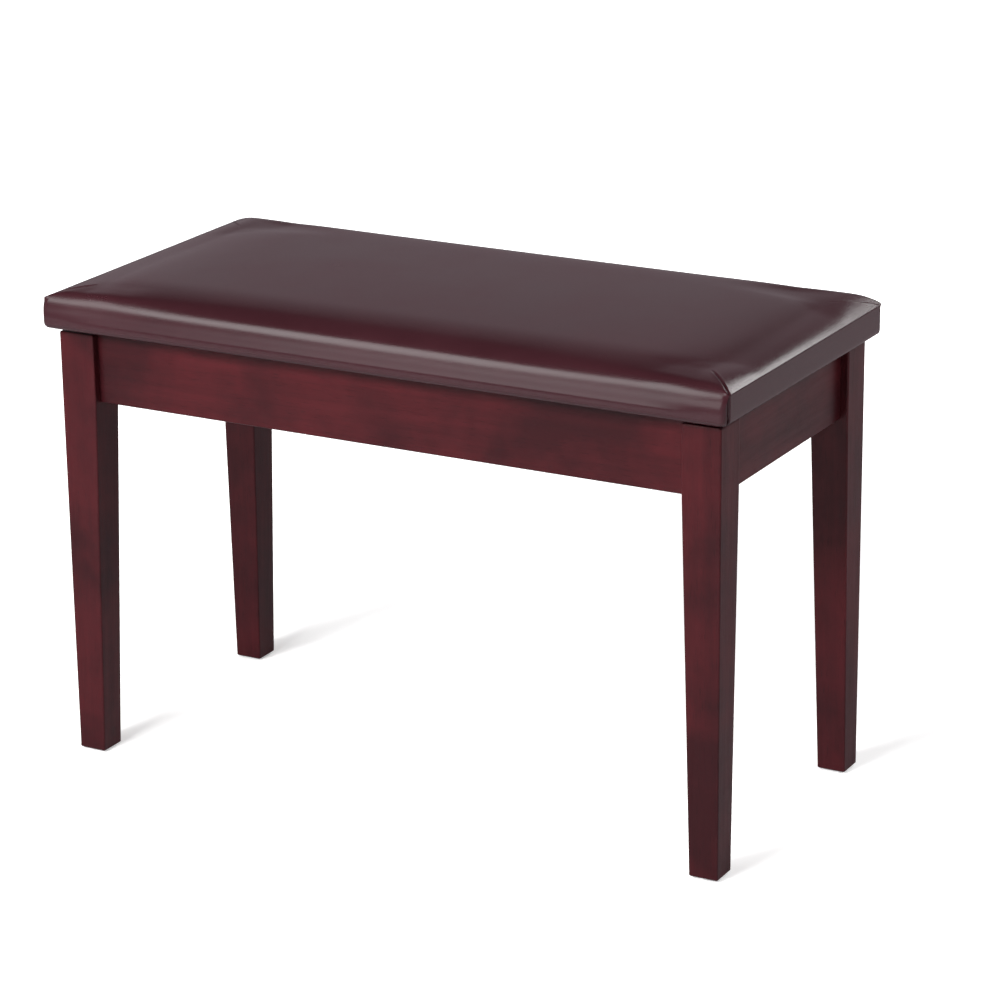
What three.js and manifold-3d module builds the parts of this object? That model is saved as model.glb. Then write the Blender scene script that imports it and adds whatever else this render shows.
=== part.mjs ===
// Piano bench with a storage box under a padded, hinged lid.
// Millimetres, Z up, X along the bench, the front is -Y, the origin is under its middle on the floor.

import * as THREE from "three";
import { mergeVertices } from "three/addons/utils/BufferGeometryUtils.js";
import Module from "manifold-3d";

// ---------------------------------------------------------------- driving dimensions

// overall
const LENGTH = 749.3;
const DEPTH = 355.6;
const HEIGHT = 495.3;

// legs: square at the top, tapered on the two inner faces below the box
const LEG_OUT_X = 363;
const LEG_OUT_Y = 163;
const LEG_TOP_WIDTH = 40;
const LEG_FOOT_WIDTH = 30;
const LEG_EDGE_RADIUS = 1.6;
const LEG_SEAT_CUT = 10;
const LEG_SEAT_GAP = 0.3;
const FRAME_TOP = 446.5;
const GLIDE_RADIUS = 10;
const GLIDE_HEIGHT = 2;

// box
const APRON_BOTTOM = 375.5;
const APRON_THICKNESS = 16;
const APRON_SETBACK = 8.6;
const APRON_EDGE_CHAMFER = 0.8;
const PANEL_THICKNESS = 4;
const PANEL_LIFT = 5;
const GROOVE_DEPTH = 5;
const GROOVE_PLAY = 0.25;
const BLOCK_THICKNESS = 22;
const BLOCK_PANEL_GAP = 0.5;
const BLOCK_TOP_DROP = 5.5;

// leg fixings
const BOLT_RADIUS = 3.9;
const BOLT_HEIGHT = 413;
const BOLT_IN_LEG = 32;
const BOLT_PAST_NUT = 4;
const BOLT_PLAY = 0.3;
const WASHER_RADIUS = 10;
const WASHER_THICKNESS = 1.6;
const NUT_HUB_RADIUS = 7;
const NUT_HUB_HEIGHT = 8;
const NUT_WING_REACH = 15.5;
const NUT_WING_RISE = 13;
const NUT_WING_THICKNESS = 3;
const STACK_GAP = 0.3;

// lid
const LID_BOTTOM = 451;
const HEM_THICKNESS = 1;
const HEM_WIDTH = 25;
const COVER_THICKNESS = 4;
const BOARD_THICKNESS = 18;
const LID_CORNER_RADIUS = 20;
const POCKET_PLAY = 0.3;
const DUST_COVER_THICKNESS = 0.8;
const DUST_COVER_GAP = 0.4;

// the cushion's outside, as [inset in plan, height] from the bottom up
const CUSHION_PROFILE = [
  [2.5, LID_BOTTOM],
  [0.6, LID_BOTTOM + 1.0],
  [0, LID_BOTTOM + 3],
  [0, LID_BOTTOM + 24],
  [1.4, LID_BOTTOM + 30],
  [5.5, LID_BOTTOM + 36],
  [12, LID_BOTTOM + 40.5],
  [22, LID_BOTTOM + 43.3],
  [38, HEIGHT],
];

// hinges
const HINGE_X = 220;
const HINGE_LENGTH = 60;
const HINGE_AXIS_Y = 162;
const HINGE_AXIS_Z = 447.75;
const LEAF_THICKNESS = 1.8;
const LEAF_FRONT_Y = 139.5;
const LEAF_BACK_Y = 158.2;
const BARREL_RADIUS = 3;
const PIN_RADIUS = 1.5;
const PIN_HOLE_RADIUS = 1.6;
const KNUCKLE_GAP = 0.4;
const MIDDLE_KNUCKLE = 22;
const HINGE_SCREW_Y = 146;
const HINGE_SCREW_X = 20;
const SCREW_RADIUS = 1.5;
const SCREW_HEAD_RADIUS = 3;
const SCREW_HEAD_HEIGHT = 1.5;
const SCREW_LENGTH = 12;
const SCREW_PLAY = 0.2;

// bumpers on the front apron
const BUMPER_X = 262;
const BUMPER_RADIUS = 4.5;
const BUMPER_HEIGHT = 4.3;

// lid stay, folded flat against the left apron: offsets along X are counted inwards from the apron
const STAY_BACK = 102;
const STAY_DROP = 42;
const STAY_FORWARD = 110;
const STAY_LID_DROP = 12;
const STAY_ARM_HALF_WIDTH = 7;
const STAY_ARM_THICKNESS = 2;
const STAY_PLATE_THICKNESS = 2;
const STAY_LOWER_OFFSET = 2.5;
const STAY_UPPER_OFFSET = 5;
const STAY_TAB_OFFSET = 7.5;
const STAY_RIVET_RADIUS = 2.5;
const STAY_RIVET_PLAY = 0.06;
const STAY_OPEN_PIVOT_PLAY = 0.5;
const STAY_HEAD_RADIUS = 4.5;
const STAY_HEAD_THICKNESS = 1.3;
const STAY_HEAD_GAP = 0.3;
const STAY_PLATE_HALF_WIDTH = 8;
const STAY_PLATE_REACH = 20;
const STAY_SCREW_REACH = 14;
const STAY_LUG_RADIUS = 2;
const STAY_LUG_REACH = 12;
const STAY_LUG_ANGLE = 146;
const STAY_TAB_WIDTH = 16;
const STAY_FLANGE_WIDTH = 18;
const STAY_FLANGE_LENGTH = 44;
const STAY_FLANGE_SCREW_REACH = 15;
const STAY_SCREW_LENGTH = 10;

const ROUND = 32;
const SMALL_ROUND = 24;

// ---------------------------------------------------------------- solids

const wasm = await Module();
wasm.setup();

// a closed three.js geometry as a solid for cutting and joining
function solid(geometry) {
  const bare = geometry.clone();
  bare.deleteAttribute("normal");
  bare.deleteAttribute("uv");
  const welded = mergeVertices(bare, 1e-5);
  return new wasm.Manifold(
    new wasm.Mesh({
      numProp: 3,
      vertProperties: new Float32Array(welded.attributes.position.array),
      triVerts: new Uint32Array(welded.index.array),
    })
  );
}

function geometryOf(body) {
  const mesh = body.getMesh();
  const geometry = new THREE.BufferGeometry();
  geometry.setAttribute("position", new THREE.BufferAttribute(new Float32Array(mesh.vertProperties), 3));
  geometry.setIndex(new THREE.BufferAttribute(new Uint32Array(mesh.triVerts), 1));
  const faceted = geometry.toNonIndexed();
  faceted.computeVertexNormals();
  return faceted;
}

function cut(body, ...tools) {
  return tools.reduce((left, tool) => left.subtract(tool), body);
}

// box between two corners
function block(x0, x1, y0, y1, z0, z1) {
  const geometry = new THREE.BoxGeometry(x1 - x0, y1 - y0, z1 - z0);
  geometry.translate((x0 + x1) / 2, (y0 + y1) / 2, (z0 + z1) / 2);
  return solid(geometry);
}

// round bar along Z from z0 to z1, or a cone when the two radii differ
function barZ(x, y, z0, z1, bottomRadius, topRadius = bottomRadius, sides = ROUND) {
  const geometry = new THREE.CylinderGeometry(topRadius, bottomRadius, z1 - z0, sides);
  geometry.rotateX(Math.PI / 2);
  geometry.translate(x, y, (z0 + z1) / 2);
  return solid(geometry);
}

// round bar along X from x0 to x1
function barX(x0, x1, y, z, radius, sides = ROUND) {
  const geometry = new THREE.CylinderGeometry(radius, radius, x1 - x0, sides);
  geometry.rotateZ(Math.PI / 2);
  geometry.translate((x0 + x1) / 2, y, z);
  return solid(geometry);
}

// flat prism on an outline of [x, y] points, from z0 to z1
function prism(outline, z0, z1) {
  const shape = new THREE.Shape(outline.map(([x, y]) => new THREE.Vector2(x, y)));
  const geometry = new THREE.ExtrudeGeometry(shape, { depth: z1 - z0, bevelEnabled: false });
  geometry.translate(0, 0, z0);
  return solid(geometry);
}

// outline of a rectangle with rounded corners, as [x, y] points, counter-clockwise
function roundedOutline(x0, x1, y0, y1, radius, steps) {
  const centres = [
    [x1 - radius, y1 - radius],
    [x0 + radius, y1 - radius],
    [x0 + radius, y0 + radius],
    [x1 - radius, y0 + radius],
  ];
  const points = [];
  centres.forEach(([cx, cy], corner) => {
    for (let i = 0; i <= steps; i += 1) {
      const angle = ((corner + i / steps) * Math.PI) / 2;
      points.push([cx + radius * Math.cos(angle), cy + radius * Math.sin(angle)]);
    }
  });
  return points;
}

// skin between outlines of equal point count, each {points, z}, from the bottom up, with flat ends
function loft(layers) {
  const count = layers[0].points.length;
  const positions = layers.flatMap(({ points, z }) => points.flatMap(([x, y]) => [x, y, z]));
  const index = [];
  for (let layer = 0; layer + 1 < layers.length; layer += 1) {
    for (let i = 0; i < count; i += 1) {
      const a = layer * count + i;
      const b = layer * count + ((i + 1) % count);
      index.push(a, b, b + count);
      index.push(a, b + count, a + count);
    }
  }
  const top = (layers.length - 1) * count;
  for (let i = 1; i + 1 < count; i += 1) {
    index.push(0, i + 1, i);
    index.push(top, top + i, top + i + 1);
  }
  const geometry = new THREE.BufferGeometry();
  geometry.setAttribute("position", new THREE.Float32BufferAttribute(positions, 3));
  geometry.setIndex(index);
  return solid(geometry);
}

// the same solid after exact quarter turns about Z
function quarterTurned(body, turns) {
  return body.warp((point) => {
    for (let i = 0; i < turns; i += 1) {
      const x = point[0];
      point[0] = -point[1];
      point[1] = x;
    }
  });
}

function moved(body, x, y, z) {
  return body.translate([x, y, z]);
}

// ---------------------------------------------------------------- assembly and materials

const bench = new THREE.Group();
bench.name = "piano_bench";

const LOOKS = {
  wood: { color: 0x4a2224, roughness: 0.42, metalness: 0 },
  innerWood: { color: 0x5a2c28, roughness: 0.6, metalness: 0 },
  plywood: { color: 0x8a6a4c, roughness: 0.75, metalness: 0 },
  leather: { color: 0x3a2a2c, roughness: 0.45, metalness: 0 },
  cloth: { color: 0x141416, roughness: 0.95, metalness: 0 },
  steel: { color: 0xa8a8a4, roughness: 0.35, metalness: 1 },
  plastic: { color: 0x1c1a1a, roughness: 0.55, metalness: 0 },
  rubber: { color: 0xc8c2b4, roughness: 0.8, metalness: 0 },
};

function add(name, body, look, parent = bench) {
  const mesh = new THREE.Mesh(geometryOf(body), new THREE.MeshStandardMaterial(LOOKS[look]));
  mesh.name = name;
  parent.add(mesh);
  return mesh;
}

// the four corners: quarter turns from the back right one, and the signs of X and Y there
const CORNERS = [
  { name: "back_right", turns: 0, sx: 1, sy: 1 },
  { name: "back_left", turns: 1, sx: -1, sy: 1 },
  { name: "front_left", turns: 2, sx: -1, sy: -1 },
  { name: "front_right", turns: 3, sx: 1, sy: -1 },
];

// ---------------------------------------------------------------- legs

// a leg with its outer corner at the origin, standing towards -X and -Y of it
function legShape() {
  const section = (width, inset, z) => ({
    points: roundedOutline(
      -width + inset,
      -inset,
      -width + inset,
      -inset,
      LEG_EDGE_RADIUS,
      3
    ),
    z,
  });
  const bevel = LEG_EDGE_RADIUS;
  const bottom = GLIDE_HEIGHT;
  return loft([
    section(LEG_FOOT_WIDTH, bevel / 2, bottom),
    section(LEG_FOOT_WIDTH, 0, bottom + bevel / 2),
    section(LEG_TOP_WIDTH, 0, APRON_BOTTOM),
    section(LEG_TOP_WIDTH, 0, FRAME_TOP - bevel),
    section(LEG_TOP_WIDTH, bevel * 0.3, FRAME_TOP - bevel * 0.3),
    section(LEG_TOP_WIDTH, bevel, FRAME_TOP),
  ]);
}

// distance along the corner's diagonal from the leg's inner corner, out to its seat for the block
const SEAT_OUT = LEG_SEAT_CUT / Math.SQRT2;
const DIAGONAL = Math.SQRT2;

// a bar along the corner's diagonal; the offsets run inwards from the leg's inner corner
function diagonalBar(from, to, radius, sides = SMALL_ROUND) {
  const geometry = new THREE.CylinderGeometry(radius, radius, to - from, sides);
  geometry.rotateX(Math.PI / 2);
  geometry.translate(0, 0, (from + to) / 2);
  return solid(geometry);
}

// stands a solid made along Z on the diagonal of the leg whose outer corner is the origin
function ontoDiagonal(body) {
  const matrix = new THREE.Matrix4()
    .makeTranslation(-LEG_TOP_WIDTH, -LEG_TOP_WIDTH, BOLT_HEIGHT)
    .multiply(new THREE.Matrix4().makeRotationZ((-3 * Math.PI) / 4))
    .multiply(new THREE.Matrix4().makeRotationY(Math.PI / 2));
  const point = new THREE.Vector3();
  return body.warp((p) => {
    point.set(p[0], p[1], p[2]).applyMatrix4(matrix);
    p[0] = point.x;
    p[1] = point.y;
    p[2] = point.z;
  });
}

// half space on the inner side of a leg's seat, as a large block
function seatCutter() {
  const reach = 60;
  const cutLine = -2 * LEG_TOP_WIDTH + DIAGONAL * SEAT_OUT + DIAGONAL * LEG_SEAT_GAP;
  return prism(
    [
      [cutLine + reach, -reach],
      [-reach, cutLine + reach],
      [-2 * reach, -2 * reach],
    ],
    APRON_BOTTOM + PANEL_LIFT - 2,
    FRAME_TOP + 1
  );
}

const hole = ontoDiagonal(diagonalBar(-SEAT_OUT - BOLT_IN_LEG - 2, 5, BOLT_RADIUS + BOLT_PLAY));
const leg = cut(legShape(), seatCutter(), hole);

const glide = barZ(
  -LEG_FOOT_WIDTH / 2,
  -LEG_FOOT_WIDTH / 2,
  0,
  GLIDE_HEIGHT,
  GLIDE_RADIUS - 0.8,
  GLIDE_RADIUS,
  SMALL_ROUND
);

// puts a solid modelled on one leg's outer corner at every corner of the bench
function placeAtCorner(body, corner) {
  return moved(quarterTurned(body, corner.turns), corner.sx * LEG_OUT_X, corner.sy * LEG_OUT_Y, 0);
}

for (const corner of CORNERS) {
  add(`leg_${corner.name}`, placeAtCorner(leg, corner), "wood");
  add(`foot_glide_${corner.name}`, placeAtCorner(glide, corner), "plastic");
}

// ---------------------------------------------------------------- box

const APRON_OUT_X = LEG_OUT_X - APRON_SETBACK;
const APRON_OUT_Y = LEG_OUT_Y - APRON_SETBACK;
const APRON_IN_X = APRON_OUT_X - APRON_THICKNESS;
const APRON_IN_Y = APRON_OUT_Y - APRON_THICKNESS;
const APRON_END_X = LEG_OUT_X - LEG_TOP_WIDTH;
const APRON_END_Y = LEG_OUT_Y - LEG_TOP_WIDTH;
const PANEL_BOTTOM = APRON_BOTTOM + PANEL_LIFT;
const PANEL_TOP = PANEL_BOTTOM + PANEL_THICKNESS;

// apron along X: its outer face looks to +Y, with a chamfer on its long outer edges and a groove inside
function apronShape(endX, outY) {
  const inY = outY - APRON_THICKNESS;
  const c = APRON_EDGE_CHAMFER;
  const section = [
    [inY, APRON_BOTTOM],
    [outY - c, APRON_BOTTOM],
    [outY, APRON_BOTTOM + c],
    [outY, FRAME_TOP - c],
    [outY - c, FRAME_TOP],
    [inY, FRAME_TOP],
    [inY, PANEL_TOP + GROOVE_PLAY],
    [inY + GROOVE_DEPTH, PANEL_TOP + GROOVE_PLAY],
    [inY + GROOVE_DEPTH, PANEL_BOTTOM - GROOVE_PLAY],
    [inY, PANEL_BOTTOM - GROOVE_PLAY],
  ];
  const upright = prism(section, -endX, endX);
  return upright.warp((p) => {
    const [y, z, x] = p;
    p[0] = x;
    p[1] = y;
    p[2] = z;
  });
}

const longApron = apronShape(APRON_END_X, APRON_OUT_Y);
const shortApron = apronShape(APRON_END_Y, APRON_OUT_X);

// screw sunk flush in a face at the height `z`, its head up (+1) or down (-1)
function sunkScrew(x, y, z, up, length, play = 0) {
  const headEnd = z - up * SCREW_HEAD_HEIGHT;
  const tip = z - up * (length + play);
  const outer = SCREW_HEAD_RADIUS + play;
  const inner = SCREW_RADIUS + play;
  const shank = barZ(x, y, Math.min(tip, headEnd), Math.max(tip, z - up * 0.1), inner, inner, 16);
  const low = Math.min(z, headEnd);
  const high = Math.max(z, headEnd);
  const head = up > 0 ? barZ(x, y, low, high, inner, outer, 16) : barZ(x, y, low, high, outer, inner, 16);
  return shank.add(head);
}

const FRAME_LEAF_TOP = FRAME_TOP + LEAF_THICKNESS;
const LID_LEAF_BOTTOM = LID_BOTTOM - LEAF_THICKNESS;

// where the hinge screws stand
const HINGE_SCREWS = [];
for (const [side, centre] of [
  ["left", -HINGE_X],
  ["right", HINGE_X],
]) {
  HINGE_SCREWS.push({ side, end: "outer", x: centre + Math.sign(centre) * HINGE_SCREW_X });
  HINGE_SCREWS.push({ side, end: "inner", x: centre - Math.sign(centre) * HINGE_SCREW_X });
}

const frameScrewHoles = HINGE_SCREWS.map(({ x }) =>
  sunkScrew(x, HINGE_SCREW_Y, FRAME_LEAF_TOP, 1, SCREW_LENGTH, SCREW_PLAY)
);
const lidScrewHoles = HINGE_SCREWS.map(({ x }) =>
  sunkScrew(x, HINGE_SCREW_Y, LID_LEAF_BOTTOM, -1, SCREW_LENGTH, SCREW_PLAY)
);

// ---------------------------------------------------------------- lid stay places

const STAY_WALL_X = -APRON_IN_X;
const stayX = (offset) => STAY_WALL_X + offset;
const STAY_A = { y: HINGE_AXIS_Y - STAY_BACK, z: HINGE_AXIS_Z - STAY_DROP };
const STAY_B = { y: HINGE_AXIS_Y - STAY_FORWARD, z: HINGE_AXIS_Z - STAY_LID_DROP };
const STAY_E = { y: STAY_A.y - STAY_FORWARD, z: STAY_A.z - STAY_LID_DROP };

// screw into the left apron, pointing to -X, its head flush at the offset `offset`
function wallScrew(y, z, offset, play = 0) {
  const upright = sunkScrew(0, 0, 0, 1, STAY_SCREW_LENGTH, play);
  return upright.warp((p) => {
    const [px, py, pz] = p;
    p[0] = stayX(offset) + pz;
    p[1] = y + py;
    p[2] = z - px;
  });
}

const STAY_WALL_SCREWS = [
  { end: "front", y: STAY_A.y - STAY_SCREW_REACH },
  { end: "back", y: STAY_A.y + STAY_SCREW_REACH },
];
const stayWallHoles = STAY_WALL_SCREWS.map(({ y }) =>
  wallScrew(y, STAY_A.z, STAY_PLATE_THICKNESS, SCREW_PLAY)
);

const STAY_FLANGE_X = stayX(STAY_TAB_OFFSET) + STAY_ARM_THICKNESS + 8;
const STAY_LID_SCREWS = [
  { end: "front", y: STAY_B.y - STAY_FLANGE_SCREW_REACH },
  { end: "back", y: STAY_B.y + STAY_FLANGE_SCREW_REACH },
];
const stayLidHoles = STAY_LID_SCREWS.map(({ y }) =>
  sunkScrew(STAY_FLANGE_X, y, LID_BOTTOM - STAY_ARM_THICKNESS, -1, STAY_SCREW_LENGTH, SCREW_PLAY)
);

// ---------------------------------------------------------------- aprons, panel and blocks

add("apron_front", quarterTurned(longApron, 2), "wood");
add("apron_rear", cut(longApron, ...frameScrewHoles), "wood");
add("apron_left", cut(quarterTurned(shortApron, 1), ...stayWallHoles), "wood");
add("apron_right", quarterTurned(shortApron, 3), "wood");

const panelReachX = APRON_IN_X + GROOVE_DEPTH - GROOVE_PLAY;
const panelReachY = APRON_IN_Y + GROOVE_DEPTH - GROOVE_PLAY;
const panelTongueX = APRON_END_X - GROOVE_PLAY;
const panelTongueY = APRON_END_Y - GROOVE_PLAY;
const panel = prism(
  [
    [-panelReachX, -panelTongueY],
    [-panelTongueX, -panelTongueY],
    [-panelTongueX, -panelReachY],
    [panelTongueX, -panelReachY],
    [panelTongueX, -panelTongueY],
    [panelReachX, -panelTongueY],
    [panelReachX, panelTongueY],
    [panelTongueX, panelTongueY],
    [panelTongueX, panelReachY],
    [-panelTongueX, panelReachY],
    [-panelTongueX, panelTongueY],
    [-panelReachX, panelTongueY],
  ],
  PANEL_BOTTOM,
  PANEL_TOP
);
add("storage_panel", panel, "plywood");

// corner block, in plan across the corner of the box, on the leg whose outer corner is the origin
function cornerBlockShape() {
  const wallX = APRON_IN_X - LEG_OUT_X;
  const wallY = APRON_IN_Y - LEG_OUT_Y;
  const outerSum = -2 * LEG_TOP_WIDTH + DIAGONAL * SEAT_OUT;
  const innerSum = outerSum - DIAGONAL * BLOCK_THICKNESS;
  const plan = [
    [wallX, outerSum - wallX],
    [outerSum - wallY, wallY],
    [innerSum - wallY, wallY],
    [wallX, innerSum - wallX],
  ];
  const body = prism(plan, PANEL_TOP + BLOCK_PANEL_GAP, FRAME_TOP - BLOCK_TOP_DROP);
  return cut(body, ontoDiagonal(diagonalBar(-20, 40, BOLT_RADIUS + BOLT_PLAY)));
}

const blockInside = BLOCK_THICKNESS - SEAT_OUT;
const washerFrom = blockInside + STACK_GAP;
const nutFrom = washerFrom + WASHER_THICKNESS + STACK_GAP;
const boltEnd = nutFrom + NUT_HUB_HEIGHT + BOLT_PAST_NUT;

// hanger bolt with a chamfered free end
function boltShape() {
  const chamfer = 1;
  const start = -SEAT_OUT - BOLT_IN_LEG;
  const profile = [
    [0, start],
    [BOLT_RADIUS - 2 * chamfer, start],
    [BOLT_RADIUS, start + 3 * chamfer],
    [BOLT_RADIUS, boltEnd - chamfer],
    [BOLT_RADIUS - chamfer, boltEnd],
    [0, boltEnd],
  ];
  const geometry = new THREE.LatheGeometry(
    profile.map(([r, h]) => new THREE.Vector2(r, h)),
    SMALL_ROUND
  );
  geometry.rotateX(Math.PI / 2);
  return solid(geometry);
}

function washerShape() {
  const disc = diagonalBar(washerFrom, washerFrom + WASHER_THICKNESS, WASHER_RADIUS);
  return cut(disc, diagonalBar(washerFrom - 1, washerFrom + WASHER_THICKNESS + 1, BOLT_RADIUS + BOLT_PLAY));
}

// wing nut: a tapered hub with two rounded wings
function wingNutShape() {
  const hubEnd = nutFrom + NUT_HUB_HEIGHT;
  const hub = barZ(0, 0, nutFrom, hubEnd, NUT_HUB_RADIUS, NUT_HUB_RADIUS - 1.4, SMALL_ROUND);
  const wing = new THREE.Shape();
  const foot = nutFrom + 1.5;
  const tip = nutFrom + NUT_WING_RISE;
  const neck = BOLT_RADIUS + 0.8;
  wing.moveTo(neck, foot);
  wing.quadraticCurveTo(NUT_HUB_RADIUS + 2, foot, NUT_WING_REACH - 1, foot + 5);
  wing.quadraticCurveTo(NUT_WING_REACH + 1.5, tip - 2, NUT_WING_REACH - 1, tip);
  wing.quadraticCurveTo(NUT_HUB_RADIUS + 3.5, tip + 1, NUT_HUB_RADIUS - 0.5, hubEnd - 1.5);
  wing.lineTo(neck, hubEnd - 1.5);
  const geometry = new THREE.ExtrudeGeometry(wing, {
    depth: NUT_WING_THICKNESS,
    bevelEnabled: false,
    curveSegments: 5,
  });
  geometry.translate(0, 0, -NUT_WING_THICKNESS / 2);
  geometry.rotateX(Math.PI / 2);
  const right = solid(geometry);
  const left = right.rotate([0, 0, 180]);
  const bore = diagonalBar(nutFrom - 1, nutFrom + NUT_WING_RISE + 4, BOLT_RADIUS + BOLT_PLAY);
  return cut(hub.add(right).add(left).rotate([0, 0, 25]), bore);
}

const cornerBlock = cornerBlockShape();
const bolt = ontoDiagonal(boltShape());
const washer = ontoDiagonal(washerShape());
const wingNut = ontoDiagonal(wingNutShape());

for (const corner of CORNERS) {
  const inner = {
    corner_block: [cornerBlock, "innerWood"],
    hanger_bolt: [bolt, "steel"],
    washer: [washer, "steel"],
    wing_nut: [wingNut, "steel"],
  };
  for (const [name, [body, look]] of Object.entries(inner)) {
    add(`${name}_${corner.name}`, placeAtCorner(body, corner), look);
  }
}

// ---------------------------------------------------------------- bumpers

for (const [side, x] of [
  ["left", -BUMPER_X],
  ["right", BUMPER_X],
]) {
  const y = -(APRON_IN_Y + APRON_THICKNESS / 2);
  const top = FRAME_TOP + BUMPER_HEIGHT;
  const foot = barZ(x, y, FRAME_TOP, top - 1.2, BUMPER_RADIUS, BUMPER_RADIUS, SMALL_ROUND);
  const crown = barZ(x, y, top - 1.2, top, BUMPER_RADIUS, BUMPER_RADIUS - 1.4, SMALL_ROUND);
  add(`lid_bumper_${side}`, foot.add(crown), "rubber");
}

// ---------------------------------------------------------------- lid

const lid = new THREE.Group();
lid.name = "lid";
bench.add(lid);

const BOARD_BOTTOM = LID_BOTTOM + HEM_THICKNESS;
const BOARD_TOP = BOARD_BOTTOM + BOARD_THICKNESS;

// rounded plate centred on the bench, `inset` in from the lid's outside
function lidPlate(inset, radius, z0, z1) {
  const x = LENGTH / 2 - inset;
  const y = DEPTH / 2 - inset;
  const points = roundedOutline(-x, x, -y, y, radius, 6);
  return loft([
    { points, z: z0 },
    { points, z: z1 },
  ]);
}

const cushionOutside = loft(
  CUSHION_PROFILE.map(([inset, z]) => {
    const x = LENGTH / 2 - inset;
    const y = DEPTH / 2 - inset;
    return { points: roundedOutline(-x, x, -y, y, LID_CORNER_RADIUS, 8), z };
  })
);
const pocketInset = COVER_THICKNESS - POCKET_PLAY;
const pocketRadius = LID_CORNER_RADIUS - COVER_THICKNESS;
const pocket = lidPlate(pocketInset, pocketRadius, BOARD_BOTTOM, BOARD_TOP + POCKET_PLAY);
const hemOpeningInset = COVER_THICKNESS + HEM_WIDTH;
const hemOpening = lidPlate(hemOpeningInset, 8, LID_BOTTOM - 1, BOARD_BOTTOM + 1);
const cushion = cut(cushionOutside, pocket, hemOpening);
add("seat_cushion", cushion, "leather", lid);

const board = lidPlate(COVER_THICKNESS, pocketRadius, BOARD_BOTTOM, BOARD_TOP);
add("lid_board", cut(board, ...lidScrewHoles, ...stayLidHoles), "plywood", lid);

const dustCover = lidPlate(
  hemOpeningInset + DUST_COVER_GAP,
  8,
  BOARD_BOTTOM - DUST_COVER_THICKNESS,
  BOARD_BOTTOM
);
add("dust_cover", cut(dustCover, ...lidScrewHoles, ...stayLidHoles), "cloth", lid);

// ---------------------------------------------------------------- hinges

// leaf with its knuckles: `ranges` are the knuckles' [start, end] along X from the hinge's middle
function leafShape(centre, z0, z1, ranges, holes) {
  const half = HINGE_LENGTH / 2;
  let body = block(centre - half, centre + half, LEAF_FRONT_Y, LEAF_BACK_Y, z0, z1);
  for (const [start, end] of ranges) {
    const x0 = centre + start;
    const x1 = centre + end;
    body = body.add(block(x0, x1, LEAF_BACK_Y - 1, HINGE_AXIS_Y, z0, z1));
    body = body.add(barX(x0, x1, HINGE_AXIS_Y, HINGE_AXIS_Z, BARREL_RADIUS));
  }
  const bore = barX(centre - half - 1, centre + half + 1, HINGE_AXIS_Y, HINGE_AXIS_Z, PIN_HOLE_RADIUS);
  return cut(body, bore, ...holes);
}

for (const [side, centre] of [
  ["left", -HINGE_X],
  ["right", HINGE_X],
]) {
  const half = HINGE_LENGTH / 2;
  const middle = MIDDLE_KNUCKLE / 2;
  const outerKnuckles = [
    [-half, -middle - KNUCKLE_GAP],
    [middle + KNUCKLE_GAP, half],
  ];
  const middleKnuckle = [[-middle, middle]];
  const frameLeaf = leafShape(centre, FRAME_TOP, FRAME_LEAF_TOP, outerKnuckles, frameScrewHoles);
  const lidLeaf = leafShape(centre, LID_LEAF_BOTTOM, LID_BOTTOM, middleKnuckle, lidScrewHoles);
  const pin = barX(centre - half - 0.5, centre + half + 0.5, HINGE_AXIS_Y, HINGE_AXIS_Z, PIN_RADIUS);
  add(`hinge_frame_leaf_${side}`, frameLeaf, "steel");
  add(`hinge_pin_${side}`, pin, "steel");
  add(`hinge_lid_leaf_${side}`, lidLeaf, "steel", lid);
}

for (const { side, end, x } of HINGE_SCREWS) {
  const frameScrew = sunkScrew(x, HINGE_SCREW_Y, FRAME_LEAF_TOP, 1, SCREW_LENGTH);
  const lidScrew = sunkScrew(x, HINGE_SCREW_Y, LID_LEAF_BOTTOM, -1, SCREW_LENGTH);
  add(`hinge_frame_screw_${side}_${end}`, frameScrew, "steel");
  add(`hinge_lid_screw_${side}_${end}`, lidScrew, "steel", lid);
}

// ---------------------------------------------------------------- lid stay

// flat link with round ends between two places, `offset` out from the apron
function link(from, to, offset, thickness, halfWidth) {
  const along = Math.atan2(to.z - from.z, to.y - from.y);
  const span = Math.hypot(to.y - from.y, to.z - from.z);
  const outline = [];
  const steps = 10;
  for (let i = 0; i <= steps; i += 1) {
    const angle = -Math.PI / 2 + (Math.PI * i) / steps;
    outline.push([span + halfWidth * Math.cos(angle), halfWidth * Math.sin(angle)]);
  }
  for (let i = 0; i <= steps; i += 1) {
    const angle = Math.PI / 2 + (Math.PI * i) / steps;
    outline.push([halfWidth * Math.cos(angle), halfWidth * Math.sin(angle)]);
  }
  const flat = prism(outline, 0, thickness);
  return flat.warp((p) => {
    const [u, v, w] = p;
    p[0] = stayX(offset) + w;
    p[1] = from.y + u * Math.cos(along) - v * Math.sin(along);
    p[2] = from.z + u * Math.sin(along) + v * Math.cos(along);
  });
}

function stayBar(place, from, to, radius) {
  return barX(stayX(from), stayX(to), place.y, place.z, radius, ROUND);
}

// rivet through two plates, with a head on each side that stands clear of them
function rivet(place, from, to) {
  const shank = stayBar(place, from, to, STAY_RIVET_RADIUS);
  const near = stayBar(place, from, from + STAY_HEAD_THICKNESS, STAY_HEAD_RADIUS);
  const far = stayBar(place, to - STAY_HEAD_THICKNESS, to, STAY_HEAD_RADIUS);
  return shank.add(near).add(far);
}

const runningHole = (place) => stayBar(place, -1, 14, STAY_RIVET_RADIUS + STAY_RIVET_PLAY);
const openHole = (place) => stayBar(place, -1, 14, STAY_RIVET_RADIUS + STAY_OPEN_PIVOT_PLAY);

const lowerOut = STAY_LOWER_OFFSET + STAY_ARM_THICKNESS;
const upperOut = STAY_UPPER_OFFSET + STAY_ARM_THICKNESS;
const tabOut = STAY_TAB_OFFSET + STAY_ARM_THICKNESS;

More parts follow.
